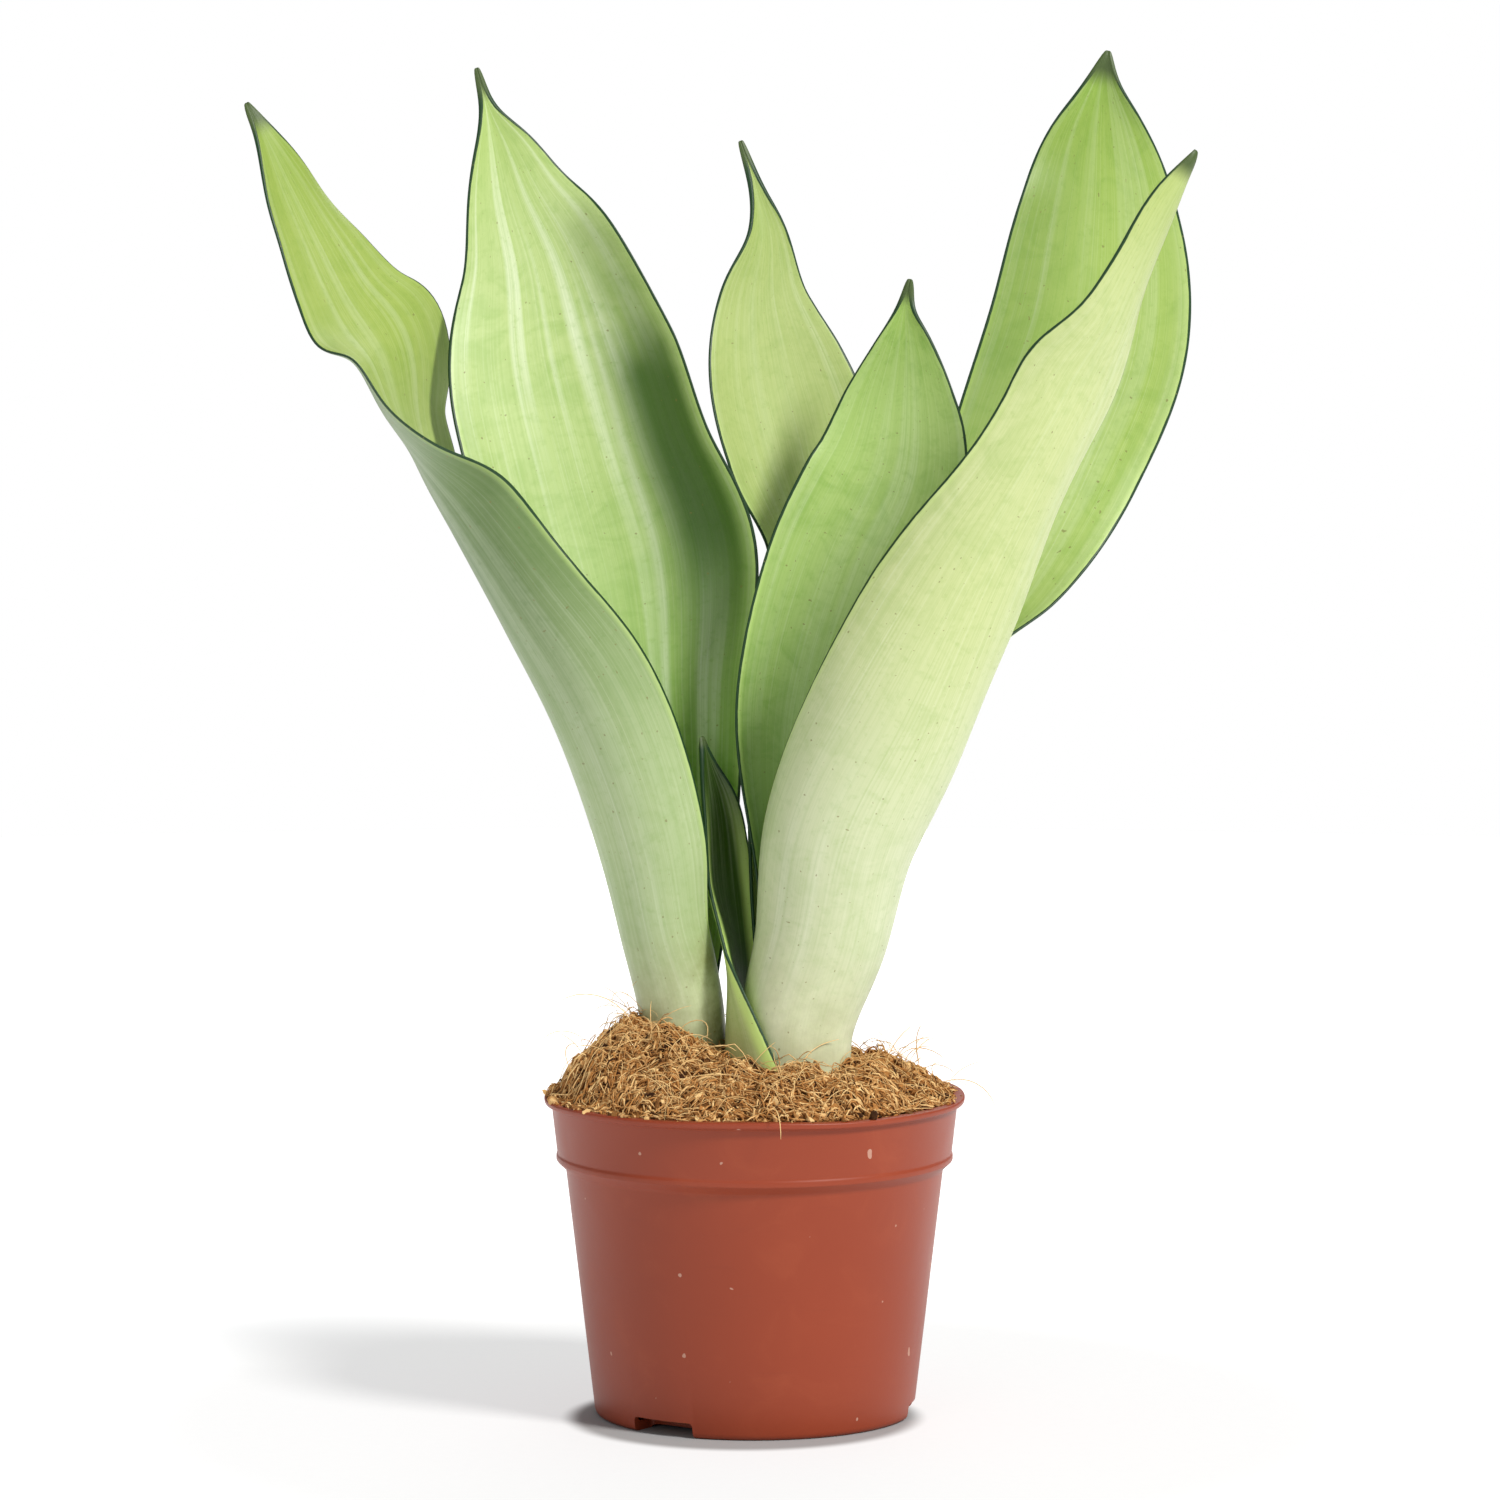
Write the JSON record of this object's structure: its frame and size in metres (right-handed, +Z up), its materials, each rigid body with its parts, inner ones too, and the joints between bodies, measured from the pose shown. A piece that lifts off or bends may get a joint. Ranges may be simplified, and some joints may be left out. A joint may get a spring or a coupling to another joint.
{
  "type": "potted snake plant",
  "caption": "Pale broad-leaved snake plant in a round plastic nursery pot with a stepped collar, heaped with potting coir.",
  "frame": {"origin": "on the ground, in the middle of the pot's foot", "axes": "+Z up along the pot's axis; the plant's broad side looks along -Y; +X to the right as seen from there"},
  "size_m": [0.2715, 0.12, 0.3882],
  "materials": {
    "terracotta_plastic": "satin",
    "coir": "matte",
    "rhizome": "matte",
    "leaf_left_outer": "satin",
    "leaf_left_inner": "satin",
    "leaf_middle": "satin",
    "leaf_back_middle": "satin",
    "leaf_back_right": "satin",
    "leaf_right_outer": "satin",
    "leaf_small": "satin"
  },
  "bodies": {
    "root": {"pot": "terracotta_plastic", "potting_coir": "coir", "rhizome": "rhizome", "leaf_left_outer": "leaf_left_outer", "leaf_left_inner": "leaf_left_inner", "leaf_middle": "leaf_middle", "leaf_back_middle": "leaf_back_middle", "leaf_back_right": "leaf_back_right", "leaf_right_outer": "leaf_right_outer", "leaf_small": "leaf_small"}
  },
  "joints": []
}
